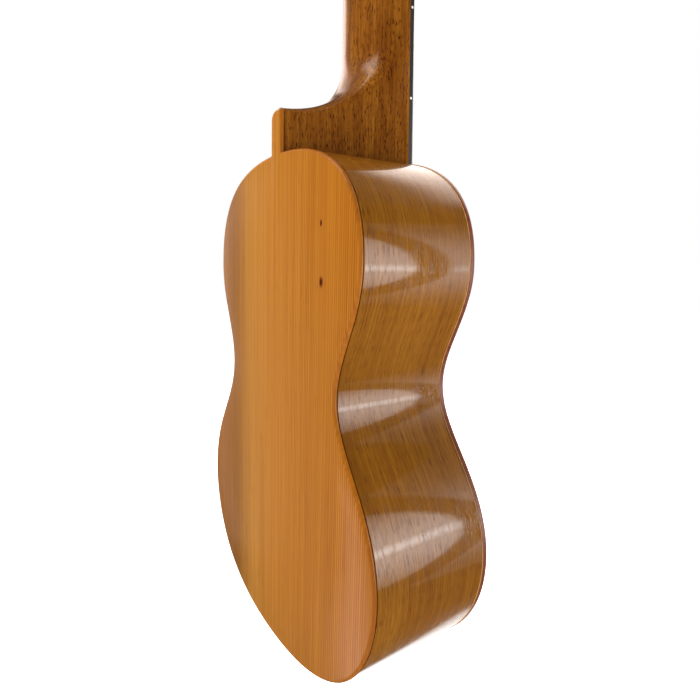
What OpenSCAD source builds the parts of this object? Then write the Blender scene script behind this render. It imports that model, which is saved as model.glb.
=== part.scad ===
// Charango: five double courses, flat-backed box body, geared tuners.
// Millimetres. +Z runs up the neck, the soundboard faces -Y and the back faces +Y.
// The origin is at the nut, on the centre line, where a hanger holds the neck.

/* [Scale and neck] */
// Scale length, from the nut to the saddle without compensation
scale_len = 370; // [330:1:400]
// Width of the neck at the nut
nut_w = 44; // [42:0.5:50]
// Width of the neck where it meets the body
joint_w = 50; // [48:0.5:60]
// Depth of the neck behind the fretboard
neck_depth = 15; // [13:0.5:18]
// Width of the heel at the back
heel_cap_w = 10.4; // [10:0.2:20]
// Height of the heel above the body, at its back
heel_h = 19.5; // [16:0.5:26]
// Height above the body at which the heel has faded into the neck
heel_fade = 68; // [56:1:84]
// Width of the tenon that holds the neck
tenon_w = 16; // [12:1:20]
// Depth of the tenon into the neck block
tenon_len = 12; // [8:1:14]

/* [Fretboard and nut] */
// Thickness of the fretboard
fretboard_t = 2.2; // [2.2:0.1:5]
// Number of frets
fret_count = 17; // [14:1:18]
// Width of a fret's crown
fret_w = 2; // [1.6:0.1:2.6]
// Height of a fret's crown
fret_h = 0.8; // [0.7:0.1:1.3]
// Depth of a fret's tang in the fretboard
tang_h = 1.6; // [1.2:0.1:2]
// Width of a fret's tang
tang_w = 0.6; // [0.5:0.05:0.8]
// Thickness of the nut along the neck
nut_t = 4; // [3:0.5:5]
// Radius of a side position dot
side_dot_r = 0.6; // [0.4:0.1:0.9]
// Radius of a front position dot
front_dot_r = 2.5; // [2:0.1:3]

/* [Body] */
// Length of the body
body_len = 247.4; // [240:1:300]
// Width of the lower bout
lower_w = 173.6; // [160:1:210]
// Width of the waist
waist_w = 110.2; // [95:1:134]
// Width of the upper bout
upper_w = 143; // [130:1:172]
// Height of the lower bout's widest place above the tail
lower_z = 65.8; // [60:1:72]
// Height of the waist above the tail
waist_z = 141.9; // [134:1:148]
// Height of the upper bout's widest place above the tail
upper_z = 195.7; // [190:1:200]
// Depth of the body at the tail
tail_depth = 64.1; // [52:0.5:78]
// Depth of the body at the neck
neck_end_depth = 59.5; // [48:0.5:72]
// Thickness of the soundboard
soundboard_t = 2.6; // [2:0.1:3.4]
// Thickness of the back
back_t = 2.4; // [2:0.1:3.4]
// Thickness of the bent sides
side_t = 1.8; // [1.4:0.1:2.4]
// Radius of the soundhole
hole_r = 28; // [24:1:34]
// Width of the rosette
rosette_w = 6; // [4:0.5:8]

/* [Inside] */
// Width of a lining
lining_w = 5; // [4:0.5:7]
// Height of a lining
lining_h = 9; // [6:0.5:12]
// Width of the neck block
neck_block_w = 50; // [40:1:60]
// Length of the neck block along the body
neck_block_len = 20; // [16:1:26]
// Width of the tail block
tail_block_w = 40; // [30:1:60]
// Length of the tail block along the body
tail_block_len = 14; // [10:1:20]
// Width of a brace
brace_w = 6; // [4:0.5:8]
// Height of a brace
brace_h = 9; // [6:0.5:12]
// Thickness of the bridge plate
bridge_plate_t = 2; // [1.5:0.1:3]

/* [Bridge and strings] */
// Width of the bridge across the soundboard
bridge_w = 112; // [100:1:130]
// Length of the bridge along the strings
bridge_len = 24; // [22:1:30]
// Height of the bridge's middle
bridge_h = 5.8; // [5.2:0.1:6.2]
// Thickness of the bridge's wings
wing_h = 3; // [2.5:0.1:4]
// Thickness of the saddle
saddle_t = 2.6; // [2:0.1:3.2]
// Extra string length at the saddle
compensation = 2; // [0:0.5:4]
// Height of the strings over the twelfth fret
action = 2.4; // [1.8:0.1:3.5]
// Distance between courses at the nut
nut_pitch = 8.8; // [8:0.1:9.6]
// Distance between courses at the saddle
saddle_pitch = 11.4; // [10:0.1:12.5]
// Distance between the two strings of a course
pair_gap = 2.4; // [2:0.1:3]
// Radius of a string
string_r = 0.35; // [0.25:0.05:0.45]

/* [Headstock] */
// Angle between the headstock and the neck
head_angle = 14; // [8:1:16]
// Length of the headstock
head_len = 152; // [150:1:190]
// Width of the headstock
head_w = 74; // [72:1:90]
// Thickness of the headstock with its veneer
head_t = 15; // [13:0.5:18]
// Thickness of the veneer
veneer_t = 1.5; // [1:0.1:2.5]

/* [Tuners] */
// Distance between posts
post_pitch = 24.5; // [23:0.5:28]
// Distance of the first post from the nut end of the headstock
first_post = 27; // [25:1:31]
// Distance between a post and the centre line
post_x = 24; // [23:0.5:26]
// Radius of a post
post_r = 3; // [2.6:0.1:3.4]
// Length of a post in front of the headstock
post_front = 13; // [10:0.5:16]
// Teeth on a gear
gear_teeth = 14; // [12:1:16]
// Pitch of the worm
worm_pitch = 2.1; // [1.8:0.1:2.2]
// Radius of the worm at the pitch line
worm_r = 2.2; // [2.1:0.1:2.6]
// Radius of the worm shaft
shaft_r = 1.5; // [1.3:0.1:1.6]
// Thickness of a tuner plate
plate_t = 1; // [0.8:0.1:1.6]
// Thickness of a bearing lug
lug_t = 1.5; // [1.2:0.1:2]
// Length of a button along its shaft
button_len = 15; // [12:0.5:18]
// Width of a button across its shaft
button_w = 17; // [14:0.5:20]
// Thickness of a button
button_t = 8; // [7:0.5:10]

/* [Hidden] */
TUNERS = [1, 2, 3, 4, 5, 6, 7, 8, 9, 10];
// fits
running_gap = 0.05;   // radial play of a shaft in its bore
inlay_gap = 0.05;     // play round an inlay or a screw
string_gap = 0.1;     // room between a string and what it passes
fan_slope = 0.18;     // sideways run of the steepest string behind the nut
string_seat = 0.02;   // room between a string and what it rests on
cut_over = 5;         // how far a cut starts beyond the face it cuts
// heights along Z
joint_z = -scale_len / 2;
tail_z = joint_z - body_len;
saddle_z = -scale_len - compensation;
last_fret_room = 7;   // fretboard beyond the last fret
hole_room = 3;        // soundboard between the soundhole and its neighbours
fretboard_end = fret_z(fret_count) - last_fret_room;
hole_z = fretboard_end - hole_r - hole_room;
rosette_t = 1;
back_lean = atan((tail_depth - neck_end_depth) / body_len);
far = 300;            // longer than any cut needs to be
// curve handles of the outline, as lengths along the tangent
tail_round = 72.6;
lower_below = 22.5;
lower_above = 37;
waist_below = 24.5;
waist_above = 17.1;
upper_below = 20.4;
upper_above = 41.7;
shoulder_round = 37.3;
curve_steps = 14;
// heel curve
heel_reach = 26;
heel_rise = 32;
heel_depth = neck_end_depth - back_t;
cap_corner_r = 4;
tenon_cover = 12;     // heel left behind the tenon
foot_over = 4;        // heel drawn below the joint, before it is cut
d_steps = 20;
d_power = 2.3;
// inside
brace_room = 4;       // soundboard between a brace and the soundhole's reinforcement
fan_pitch = 30;       // distance between the three light bars behind the bridge
plate_inset = 3;      // bridge plate inside the bridge's ends
// strings over the nut and the saddle
nut_string_y = -(fretboard_t + fret_h + 0.4);
mid_string_y = -(fretboard_t + fret_h + action);
saddle_string_y = 2 * mid_string_y - nut_string_y;
tie_y = -wing_h;
tie_len = 7;
string_hole_r = 0.8;
hole_y = tie_y - string_hole_r;
block_margin = 6;
saddle_margin = 3;
string_sides = 8;
bridge_low = saddle_z - bridge_len * 3 / 4;
tie_z = bridge_low + tie_len + 0.5;
break_slope = (hole_y - saddle_string_y) / (saddle_z - tie_z);
// tuner geometry, in the headstock's own frame
plate_back = head_t + plate_t;
centre_gap = 2.9;     // worm axis above the plate
worm_y = plate_back + centre_gap;
gear_r = gear_teeth * worm_pitch / (2 * PI);
tooth_out = 0.55;
tooth_in = 0.8;
tooth_tip = 0.36;
tooth_root = 1;
gear_half = 1.3;
centre_dist = gear_r + worm_r;
worm_turns = 3;
worm_seg = 12;
lug_x = 5.4;          // middle of a lug from the post's axis
lug_half = 3;
bushing_r = 4.2;
bushing_depth = 8;
flange_r = 5.4;
flange_t = 1;
wind_t = 0.8;
wind_len = 4;
wind_y = -7;
screw_r = 1.15;
screw_head_r = 2.1;
screw_len = 7;
plate_w = 15;
plate_end = 9;
screw_edge = 3;       // middle of an end screw from the plate's end
button_gap = 4;       // shaft showing between the headstock and a button

function fret_z(n) = -scale_len * (1 - pow(2, -n / 12));
function half_w(z) = nut_w / 2 + (joint_w - nut_w) / 2 * z / joint_z;
function reversed(pts) = [for (i = [len(pts) - 1:-1:0]) pts[i]];

// point t of a cubic curve, moved to its left by d
function curve_point(c, t, d) = let (
    s = 1 - t,
    p = s * s * s * c[0] + 3 * s * s * t * c[1] + 3 * s * t * t * c[2] + t * t * t * c[3],
    v = s * s * (c[1] - c[0]) + 2 * s * t * (c[2] - c[1]) + t * t * (c[3] - c[2]),
    n = [-v.y, v.x] / norm(v)
) p + d * n;
function curve(c, d = 0, steps = curve_steps) = [for (i = [0:steps - 1]) curve_point(c, i / steps, d)];

// right half of the body's outline from the tail up, inset by d
lower_x = lower_w / 2;
waist_x = waist_w / 2;
upper_x = upper_w / 2;
OUTLINE = [
    [[0, 0], [tail_round, 0], [lower_x, lower_z - lower_below], [lower_x, lower_z]],
    [[lower_x, lower_z], [lower_x, lower_z + lower_above], [waist_x, waist_z - waist_below], [waist_x, waist_z]],
    [[waist_x, waist_z], [waist_x, waist_z + waist_above], [upper_x, upper_z - upper_below], [upper_x, upper_z]],
    [[upper_x, upper_z], [upper_x, upper_z + upper_above], [shoulder_round, body_len], [0, body_len]]
];
function half_outline(d) = concat([for (c = OUTLINE) each curve(c, d)], [[0, body_len - d]]);
function full_outline(d) = let (h = half_outline(d))
    concat(h, [for (i = [len(h) - 2:-1:1]) [-h[i].x, h[i].y]]);

// a flat shape given in X and Z, from depth y0 to depth y1
module upright(y0, y1) {
    translate([0, y1, 0]) rotate([90, 0, 0]) linear_extrude(y1 - y0) children();
}

module in_body() {
    translate([0, 0, tail_z]) children();
}

// the frame of the back: Y is out of the body, Z runs up the back from the tail
module on_back() {
    translate([0, tail_depth, tail_z]) rotate([back_lean, 0, 0]) children();
}

module behind_back_plate() {
    on_back() translate([-far, -back_t, -far]) cube([2 * far, far, 3 * far]);
}

module body_prism(inset, y0, y1) {
    in_body() upright(y0, y1) polygon(full_outline(inset));
}

module tenon() {
    translate([-tenon_w / 2, soundboard_t, joint_z - tenon_len])
        cube([tenon_w, heel_depth - tenon_cover - soundboard_t, tenon_len + 2]);
}

module soundboard() {
    color("burlywood") difference() {
        body_prism(0, 0, soundboard_t);
        translate([0, 0, hole_z]) rod_y(hole_r, -1, soundboard_t + 1, 96);
        rosette_ring(inlay_gap, rosette_t);
    }
}

module rosette_ring(gap, lift) {
    inner = hole_r + hole_room - gap;
    outer = hole_r + hole_room + rosette_w + gap;
    translate([0, rosette_t, hole_z]) rotate([90, 0, 0]) difference() {
        cylinder(r = outer, h = rosette_t + lift, $fn = 96);
        translate([0, 0, -1]) cylinder(r = inner, h = rosette_t + lift + 2, $fn = 96);
    }
}

module rosette() {
    color("sienna") rosette_ring(0, 0);
}

// tongue of the back that covers the heel, with round outer corners
module heel_tongue() {
    w = heel_cap_w / 2;
    top = body_len + heel_h;
    r = cap_corner_r;
    translate([-w, -back_t, body_len - 1]) cube([heel_cap_w, back_t, heel_h + 1 - r]);
    translate([r - w, -back_t, body_len]) cube([heel_cap_w - 2 * r, back_t, heel_h]);
    for (s = [-1, 1]) {
        translate([s * (w - r), 0, top - r]) rotate([90, 0, 0]) cylinder(r = r, h = back_t, $fn = 32);
    }
}

module back_plate() {
    color("peru") on_back() union() {
        upright(-back_t, 0) polygon(full_outline(0));
        heel_tongue();
    }
}

module bent_side(s) {
    pts = concat(half_outline(0), reversed(half_outline(side_t)));
    difference() {
        mirror([s < 0 ? 1 : 0, 0, 0]) in_body() upright(soundboard_t, tail_depth + cut_over) polygon(pts);
        behind_back_plate();
        tenon();
    }
}

module left_side() {
    color("saddlebrown") bent_side(-1);
}

module right_side() {
    color("saddlebrown") bent_side(1);
}

module block_space(w, z0, z1) {
    translate([-w / 2, 0, z0]) cube([w, tail_depth + cut_over, z1 - z0]);
}

module neck_block_space() {
    block_space(neck_block_w, joint_z - neck_block_len, joint_z + 1);
}

module tail_block_space() {
    block_space(tail_block_w, tail_z - 1, tail_z + tail_block_len);
}

module neck_block() {
    color("tan") difference() {
        intersection() {
            neck_block_space();
            body_prism(side_t, soundboard_t, tail_depth + cut_over + 1);
        }
        behind_back_plate();
        tenon();
    }
}

module tail_block() {
    color("tan") difference() {
        intersection() {
            tail_block_space();
            body_prism(side_t, soundboard_t, tail_depth + cut_over + 1);
        }
        behind_back_plate();
    }
}

module lining_band() {
    difference() {
        polygon(full_outline(side_t));
        polygon(full_outline(side_t + lining_w));
    }
}

module top_linings() {
    color("wheat") difference() {
        in_body() upright(soundboard_t, soundboard_t + lining_h) lining_band();
        neck_block_space();
        tail_block_space();
    }
}

module back_linings() {
    color("wheat") difference() {
        in_body() upright(neck_end_depth - back_t - lining_h - cut_over, tail_depth + cut_over) lining_band();
        behind_back_plate();
        on_back() translate([-far, -back_t - lining_h - far, -far]) cube([2 * far, far, 3 * far]);
        neck_block_space();
        tail_block_space();
    }
}

// a straight bar under the soundboard or on the back, trimmed to the linings
module top_bar(z, w, h) {
    intersection() {
        translate([-far, soundboard_t, z - w / 2]) cube([2 * far, h, w]);
        body_prism(side_t + lining_w, 0, tail_depth);
    }
}

module bridge_plate_box() {
    w = bridge_w - 2 * plate_inset;
    translate([-w / 2, soundboard_t, saddle_z - bridge_len * 3 / 4]) cube([w, bridge_plate_t, bridge_len]);
}

module top_braces() {
    upper = hole_z + hole_r + brace_w + brace_room;
    lower = hole_z - hole_r - brace_w - brace_room;
    plate_top = saddle_z + bridge_len / 4;
    color("wheat") {
        difference() {
            top_bar(upper, brace_w, brace_h);
            neck_block_space();
        }
        top_bar(lower, brace_w, brace_h);
        for (x = [-fan_pitch, 0, fan_pitch]) {
            translate([x - brace_w / 3, soundboard_t, plate_top])
                cube([brace_w * 2 / 3, brace_h / 2, lower - brace_w / 2 - plate_top]);
        }
    }
}

module back_bar(z) {
    intersection() {
        on_back() translate([-far, -back_t - brace_h, z - brace_w / 2]) cube([2 * far, brace_h, brace_w]);
        body_prism(side_t + lining_w, 0, tail_depth);
    }
}

module back_braces() {
    color("wheat") for (z = [lower_z, waist_z, upper_z]) {
        back_bar(z);
    }
}

module bridge_plate() {
    color("tan") difference() {
        bridge_plate_box();
        tail_block_space();
    }
}

// half-width of the strings' spread at the saddle
spread = 2 * saddle_pitch + pair_gap / 2;
block_x = spread + block_margin;
saddle_x = spread + saddle_margin;

module bridge() {
    z0 = bridge_low;
    color("dimgray") difference() {
        union() {
            translate([-bridge_w / 2, -wing_h, z0]) cube([bridge_w, wing_h, bridge_len]);
            translate([-block_x, -bridge_h, z0]) cube([2 * block_x, bridge_h, bridge_len]);
        }
        saddle_slot();
        translate([-block_x - 1, -bridge_h - 1, z0 + tie_len])
            cube([2 * block_x + 2, bridge_h + 1 - wing_h + 1, bridge_len * 3 / 4 - tie_len - saddle_t * 1.5]);
        for (s = STRINGS) {
            translate([s[1], hole_y, z0 - 1]) cylinder(r = string_hole_r, h = tie_len + 2, $fn = 24);
        }
    }
}

module saddle_slot() {
    translate([-saddle_x, -far, saddle_z - saddle_t / 2]) cube([2 * saddle_x, far - wing_h / 2, saddle_t]);
}

// flat in front of the strings' break, falling behind it at the strings' own slope
module saddle() {
    crown = saddle_string_y + string_r + string_seat;
    half = saddle_t / 2;
    back = crown + half * break_slope + string_gap;
    foot = -wing_h / 2;
    color("ivory") translate([-saddle_x, 0, saddle_z]) rotate([90, 0, 90]) linear_extrude(2 * saddle_x)
        polygon([[crown, half], [crown, 0], [back, -half], [foot, -half], [foot, half]]);
}

// section of the neck: flat in front, round behind
D_SECTION = [for (i = [0:d_steps]) let (a = 180 * i / d_steps, c = cos(a), s = sin(a))
    [sign(c) * joint_w / 2 * pow(abs(c), 2 / d_power), neck_depth * pow(s, 2 / d_power)]];
HEEL_CURVE = concat(
    curve([
        [heel_depth, heel_h], [heel_depth - heel_reach, heel_h + 1],
        [neck_depth + 1.5, heel_rise], [neck_depth, heel_fade]
    ]),
    [[neck_depth, heel_fade], [0, heel_fade], [0, -foot_over], [heel_depth, -foot_over]]
);

// plan of the neck: tapers from the body to the nut
module neck_taper() {
    low = joint_z - 5;
    high = nut_t + 5;
    upright(-1, heel_depth + 1)
        polygon([[-half_w(low), low], [half_w(low), low], [half_w(high), high], [-half_w(high), high]]);
}

module heel() {
    intersection() {
        translate([-joint_w, 0, joint_z]) rotate([90, 0, 90]) linear_extrude(2 * joint_w) polygon(HEEL_CURVE);
        translate([0, 0, joint_z - 10]) linear_extrude(heel_fade + 20) polygon([
            [-joint_w / 2, 0], [joint_w / 2, 0],
            [heel_cap_w / 2, heel_depth], [-heel_cap_w / 2, heel_depth]
        ]);
    }
}

module on_head() {
    translate([0, 0, nut_t]) rotate([-head_angle, 0, 0]) children();
}

module neck_shaft() {
    difference() {
        intersection() {
            translate([0, 0, joint_z - 4]) linear_extrude(nut_t - joint_z + 8) polygon(D_SECTION);
            neck_taper();
        }
        on_head() translate([-far, -far, 0]) cube([2 * far, 2 * far, far]);
    }
}

// everything behind the splice between neck and headstock
module behind_splice() {
    splice_len = neck_depth / sin(head_angle) + 5;
    translate([0, 0, nut_t]) rotate([head_angle, 0, 0])
        translate([-far, 0, -splice_len]) cube([2 * far, far, splice_len + far]);
}

module neck() {
    color("sienna") union() {
        difference() {
            union() {
                neck_shaft();
                intersection() {
                    heel();
                    neck_taper();
                }
            }
            body_prism(0, -1, tail_depth + 5);
            on_back() translate([-far, -back_t, -far]) cube([2 * far, far, 3 * far]);
            behind_splice();
        }
        tenon();
    }
}

// outline of the headstock in its own frame: shoulders, straight sides, low crest
HEAD_HALF = let (n = nut_w / 2, w = head_w / 2, top = head_len) concat(
    curve([[n, 0], [n + 1, 9], [w, 6], [w, 18]]),
    curve([[w - 1.5, top - 16], [w - 1.5, top - 5], [w - 10, top - 3], [w - 18, top - 6]]),
    curve([[w - 18, top - 6], [w - 25, top - 8.6], [8, top], [0, top]]),
    [[0, top]]
);

module head_shape() {
    polygon(concat(HEAD_HALF, [for (i = [len(HEAD_HALF) - 2:-1:0]) [-HEAD_HALF[i].x, HEAD_HALF[i].y]]));
}

function post_at(i) = [(i <= 5 ? -1 : 1) * post_x, first_post + ((i - 1) % 5) * post_pitch];

module at_post(i) {
    on_head() translate([post_at(i)[0], 0, post_at(i)[1]]) children();
}

// cylinder along Y in the headstock's frame
module rod_y(r, y0, y1, fn = 48) {
    translate([0, y1, 0]) rotate([90, 0, 0]) cylinder(r = r, h = y1 - y0, $fn = fn);
}

module rod_x(r, x0, x1, fn = 48) {
    translate([x0, 0, 0]) rotate([0, 90, 0]) cylinder(r = r, h = x1 - x0, $fn = fn);
}

// places of the plates' screws, in the headstock's frame: one at each end, one between each two posts
plate_low = first_post - centre_dist - plate_end;
plate_high = first_post + 4 * post_pitch + plate_end + screw_edge;
SCREW_Z = concat(
    [plate_low + screw_edge],
    [for (k = [1:4]) first_post + (k - 0.5) * post_pitch],
    [plate_high - screw_edge]
);
SCREWS = [for (s = [-1, 1], z = SCREW_Z) [s * post_x, z]];

module headstock() {
    color("sienna") difference() {
        union() {
            intersection() {
                neck_shaft();
                behind_splice();
            }
            on_head() upright(veneer_t, head_t) head_shape();
        }
        for (i = TUNERS) {
            at_post(i) rod_y(bushing_r, -1, bushing_depth + inlay_gap);
            at_post(i) rod_y(post_r + 0.5, 0, head_t + 1);
        }
        for (p = SCREWS) {
            on_head() translate([p[0], 0, p[1]]) rod_y(screw_r + inlay_gap, head_t - screw_len, head_t + 1, 24);
        }
    }
}

module headstock_veneer() {
    color("black") difference() {
        on_head() upright(0, veneer_t) head_shape();
        for (i = TUNERS) {
            at_post(i) rod_y(bushing_r, -1, veneer_t + 1);
        }
    }
}

fret_inset = 0.9;     // ends of a fret and its blind slot inside the fretboard's edge
front_dot_t = 1.2;
side_dot_t = 2;
SLOTS = [for (n = [1:fret_count]) fret_z(n)];

module fretboard() {
    t = fretboard_t;
    end = fretboard_end;
    color("black") difference() {
        upright(-t, 0) polygon([[-half_w(end), end], [half_w(end), end], [half_w(0), 0], [-half_w(0), 0]]);
        for (z = SLOTS) {
            w = half_w(z) - fret_inset;
            translate([-w, -t - 1, z - tang_w / 2]) cube([2 * w, tang_h + 1, tang_w]);
        }
        dots(inlay_gap, 1);
    }
}

// flat-faced crown with its tang, as long as its slot
module frets() {
    t = fretboard_t;
    crown = [for (i = [0:6]) [-fret_w / 2 * cos(30 * i), fret_h * sin(30 * i)]];
    tang = [[-tang_w / 2, 0], [-tang_w / 2, -tang_h], [tang_w / 2, -tang_h], [tang_w / 2, 0]];
    color("silver") for (z = SLOTS) {
        w = half_w(z) - fret_inset;
        translate([-w, -t, z]) rotate([0, -90, 180]) linear_extrude(2 * w)
            polygon(concat(tang, reversed(crown)));
    }
}

// front dots and side dots, grown by gap and raised by lift
function between(n) = (fret_z(n) + fret_z(n - 1)) / 2;
FRONT_DOTS = [[0, 5], [0, 7], [0, 10], [-12, 12], [12, 12], [0, 15]];
SIDE_DOTS = [5, 7, 10];

module dots(gap, lift) {
    for (d = FRONT_DOTS) {
        translate([d[0], 0, between(d[1])])
            rod_y(front_dot_r + gap, -fretboard_t - lift, -fretboard_t + front_dot_t, 32);
    }
    for (n = SIDE_DOTS) {
        z = between(n);
        translate([0, -fretboard_t / 2, z])
            rod_x(side_dot_r + gap, -half_w(z) - lift, side_dot_t - half_w(z), 24);
    }
}

module position_dots() {
    color("ivory") dots(0, 0);
}

// slots level in front and falling with the headstock behind, flared there for the strings' fan
module nut() {
    crown = nut_string_y - string_r * 2;
    floor_y = nut_string_y + string_r + string_seat;
    fall = (nut_t / 2 + 1) * tan(head_angle);
    slot = string_r + string_gap;
    flare = slot + nut_t / 2 * fan_slope;
    color("ivory") difference() {
        translate([-nut_w / 2, crown, 0]) cube([nut_w, -crown, nut_t]);
        for (s = STRINGS) {
            translate([s[0] - slot, crown - 1, -1]) cube([2 * slot, floor_y - crown + 1, nut_t / 2 + 1.1]);
            translate([s[0] - flare, 0, 0]) rotate([90, 0, 90]) linear_extrude(2 * flare) polygon([
                [floor_y, nut_t / 2], [floor_y + fall, nut_t + 1], [crown - 1, nut_t + 1], [crown - 1, nut_t / 2]
            ]);
        }
    }
}

// each string: X at the nut, X at the saddle, tuner number; the outer strings go to the nearest posts
STRINGS = [for (k = [-2:2], h = [-1, 1]) let (
    a = k * nut_pitch + h * pair_gap / 2,
    b = k * saddle_pitch + h * pair_gap / 2,
    n = (k + 2) * 2 + (h + 1) / 2
) [a, b, n < 5 ? n + 1 : 15 - n]];

function head_point(x, y, z) = [
    x,
    y * cos(head_angle) + z * sin(head_angle),
    nut_t + z * cos(head_angle) - y * sin(head_angle)
];
function post_side(i) = let (p = post_at(i)) head_point(
    p[0] - sign(p[0]) * (post_r + wind_t + string_r + string_gap), wind_y + wind_len / 2, p[1]);
function string_route(s) = [
    [s[1], hole_y, bridge_low - 1],
    [s[1], hole_y, tie_z],
    [s[1], saddle_string_y, saddle_z],
    [s[0], nut_string_y, nut_t / 2],
    post_side(s[2])
];

// tube of level rings along a route, each ring round its own point
module string_tube(route) {
    n = string_sides;
    last = len(route) - 1;
    pts = [for (p = route, k = [0:n - 1]) p + string_r * [cos(360 * k / n), sin(360 * k / n), 0]];
    walls = [for (j = [0:last - 1], k = [0:n - 1]) let (a = j * n + k, b = j * n + (k + 1) % n)
        each [[a, a + n, b + n], [a, b + n, b]]];
    caps = [[for (k = [0:n - 1]) k], [for (k = [n - 1:-1:0]) last * n + k]];
    polyhedron(pts, concat(walls, caps));
}

module course(c) {
    color("silver") for (h = [0, 1]) {
        string_tube(string_route(STRINGS[(c - 1) * 2 + h]));
    }
}

module tuner_plate(s) {
    ids = [for (i = TUNERS) if (sign(post_at(i)[0]) == s) i];
    difference() {
        union() {
            on_head() translate([s * post_x - plate_w / 2, head_t, plate_low])
                cube([plate_w, plate_t, plate_high - plate_low]);
            for (i = ids, e = [-1, 1]) {
                at_post(i) translate([e * lug_x - lug_t / 2, plate_back - plate_t / 2, -centre_dist - lug_half])
                    cube([lug_t, centre_gap + lug_half + plate_t / 2 - 0.6, 2 * lug_half]);
            }
        }
        for (i = ids) {
            at_post(i) rod_y(post_r + running_gap, head_t - 1, plate_back + 1);
            at_post(i) translate([0, worm_y, -centre_dist]) rod_x(shaft_r + running_gap, -far / 30, far / 30);
        }
        for (p = SCREWS) {
            on_head() translate([p[0], 0, p[1]]) rod_y(screw_r + inlay_gap, head_t - 1, plate_back + 1, 24);
        }
    }
}

module left_tuner_plate() {
    color("goldenrod") tuner_plate(-1);
}

module right_tuner_plate() {
    color("goldenrod") tuner_plate(1);
}

module tuner_plate_screws() {
    color("gold") for (p = SCREWS) {
        on_head() translate([p[0], 0, p[1]]) {
            rod_y(screw_r, head_t - screw_len + 1, plate_back + 0.2, 24);
            rod_y(screw_head_r, plate_back, plate_back + 0.9, 24);
        }
    }
}

module post_bushings() {
    color("goldenrod") for (i = TUNERS) {
        at_post(i) difference() {
            union() {
                rod_y(bushing_r - inlay_gap, -0.5, bushing_depth);
                rod_y(flange_r, -flange_t, 0);
            }
            rod_y(post_r + running_gap, -2, bushing_depth + 1);
        }
    }
}

// gear outline: teeth with straight flanks, one of them at angle zero
function tooth_angle(w, r) = w / 2 / r * 180 / PI;
GEAR = [for (k = [0:gear_teeth - 1]) let (
    a = 360 * k / gear_teeth,
    ro = gear_r + tooth_out,
    ri = gear_r - tooth_in,
    o = tooth_angle(tooth_tip, ro),
    i = tooth_angle(tooth_root, ri)
) each [for (q = [[ri, a - i], [ro, a - o], [ro, a + o], [ri, a + i]]) q[0] * [cos(q[1]), sin(q[1])]]];

module post(i) {
    color("goldenrod") at_post(i) {
        rod_y(post_r, -post_front, plate_back + 0.3);
        rod_y(post_r + wind_t, wind_y, wind_y + wind_len);
        rod_y(post_r - 0.6, plate_back, worm_y - gear_half);
        translate([0, worm_y + gear_half, 0]) rotate([90, 90, 0]) linear_extrude(2 * gear_half) polygon(GEAR);
        rod_y(2, worm_y + gear_half, worm_y + gear_half + 1, 24);
    }
}

// worm: a thread of straight-sided section wound on the shaft, with the shaft's ends
thread_in = 1;        // width of the thread at its foot
thread_tip = 0.5;     // width of the thread at its crest
function worm_pt(m, q) = let (
    across = [-thread_in, -thread_tip, thread_tip, thread_in][q] / 2,
    x = worm_pitch * (m / worm_seg - worm_turns / 2) + across,
    r = q == 0 || q == 3 ? shaft_r : worm_r + tooth_out,
    a = 360 * m / worm_seg
) [x, r * sin(a), r * cos(a)];
function ring_pt(k, x) = [x, shaft_r * sin(360 * k / worm_seg), shaft_r * cos(360 * k / worm_seg)];

module worm_thread(x0, x1) {
    n = worm_seg;
    last = n * worm_turns;
    body = [for (m = [0:last], q = [0:3]) worm_pt(m, q)];
    low = len(body);
    high = low + n;
    pts = concat(body, [for (k = [0:n - 1]) ring_pt(k, x0)], [for (k = [0:n - 1]) ring_pt(k, x1)]);
    ribs = [for (m = [0:last - 1], q = [0:2]) each quad(4 * m + q, 4 * m + 4 + q, 4 * m + 5 + q, 4 * m + 1 + q)];
    roots = [for (m = [0:last - n - 1]) each quad(4 * m + 3, 4 * m + 7, 4 * (m + n + 1), 4 * (m + n))];
    start = [for (k = [0:n - 2]) each quad(low + k, low + k + 1, 4 * (k + 1), 4 * k)];
    start_seam = fan([low + n - 1, low, 0, 3, 4 * n, 4 * (n - 1)]);
    t = last - n;
    end = [for (k = [1:n - 1]) each quad(4 * (t + k) + 3, 4 * (t + k + 1) + 3, high + (k + 1) % n, high + k)];
    end_seam = fan([high + 1, high, 4 * last + 3, 4 * last, 4 * t + 3, 4 * t + 7]);
    faces = concat(ribs, roots, start, start_seam, end, end_seam,
        [[3, 2, 1, 0], [4 * last, 4 * last + 1, 4 * last + 2, 4 * last + 3]],
        [[for (k = [n - 1:-1:0]) low + k], [for (k = [0:n - 1]) high + k]]);
    polyhedron(pts, faces);
}
function quad(a, b, c, d) = [[a, b, c], [a, c, d]];
function fan(v) = [for (i = [1:len(v) - 2]) [v[0], v[i], v[i + 1]]];

module worm(i) {
    s = sign(post_at(i)[0]);
    half = worm_pitch * (worm_turns + 1) / 2;
    inner = lug_x + lug_t / 2 + 0.8;
    outer = head_w / 2 - post_x + button_gap;
    color("gold") at_post(i) translate([0, worm_y, -centre_dist]) {
        worm_thread(-half, half);
        rod_x(shaft_r, s > 0 ? -inner : -outer, -half);
        rod_x(shaft_r, half, s > 0 ? outer : inner);
    }
}

BUTTON = [for (k = [0:23]) let (c = cos(15 * k), s = sin(15 * k))
    [button_len / 2 * sign(c) * pow(abs(c), 0.8), button_w / 2 * sign(s) * pow(abs(s), 0.8)]];

module button(i) {
    s = sign(post_at(i)[0]);
    start = head_w / 2 - post_x + button_gap;
    color("ivory") at_post(i) translate([s * (start + button_len / 2), worm_y + button_t / 2, -centre_dist])
        rotate([90, 0, 0]) linear_extrude(button_t) polygon(BUTTON);
}

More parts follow.
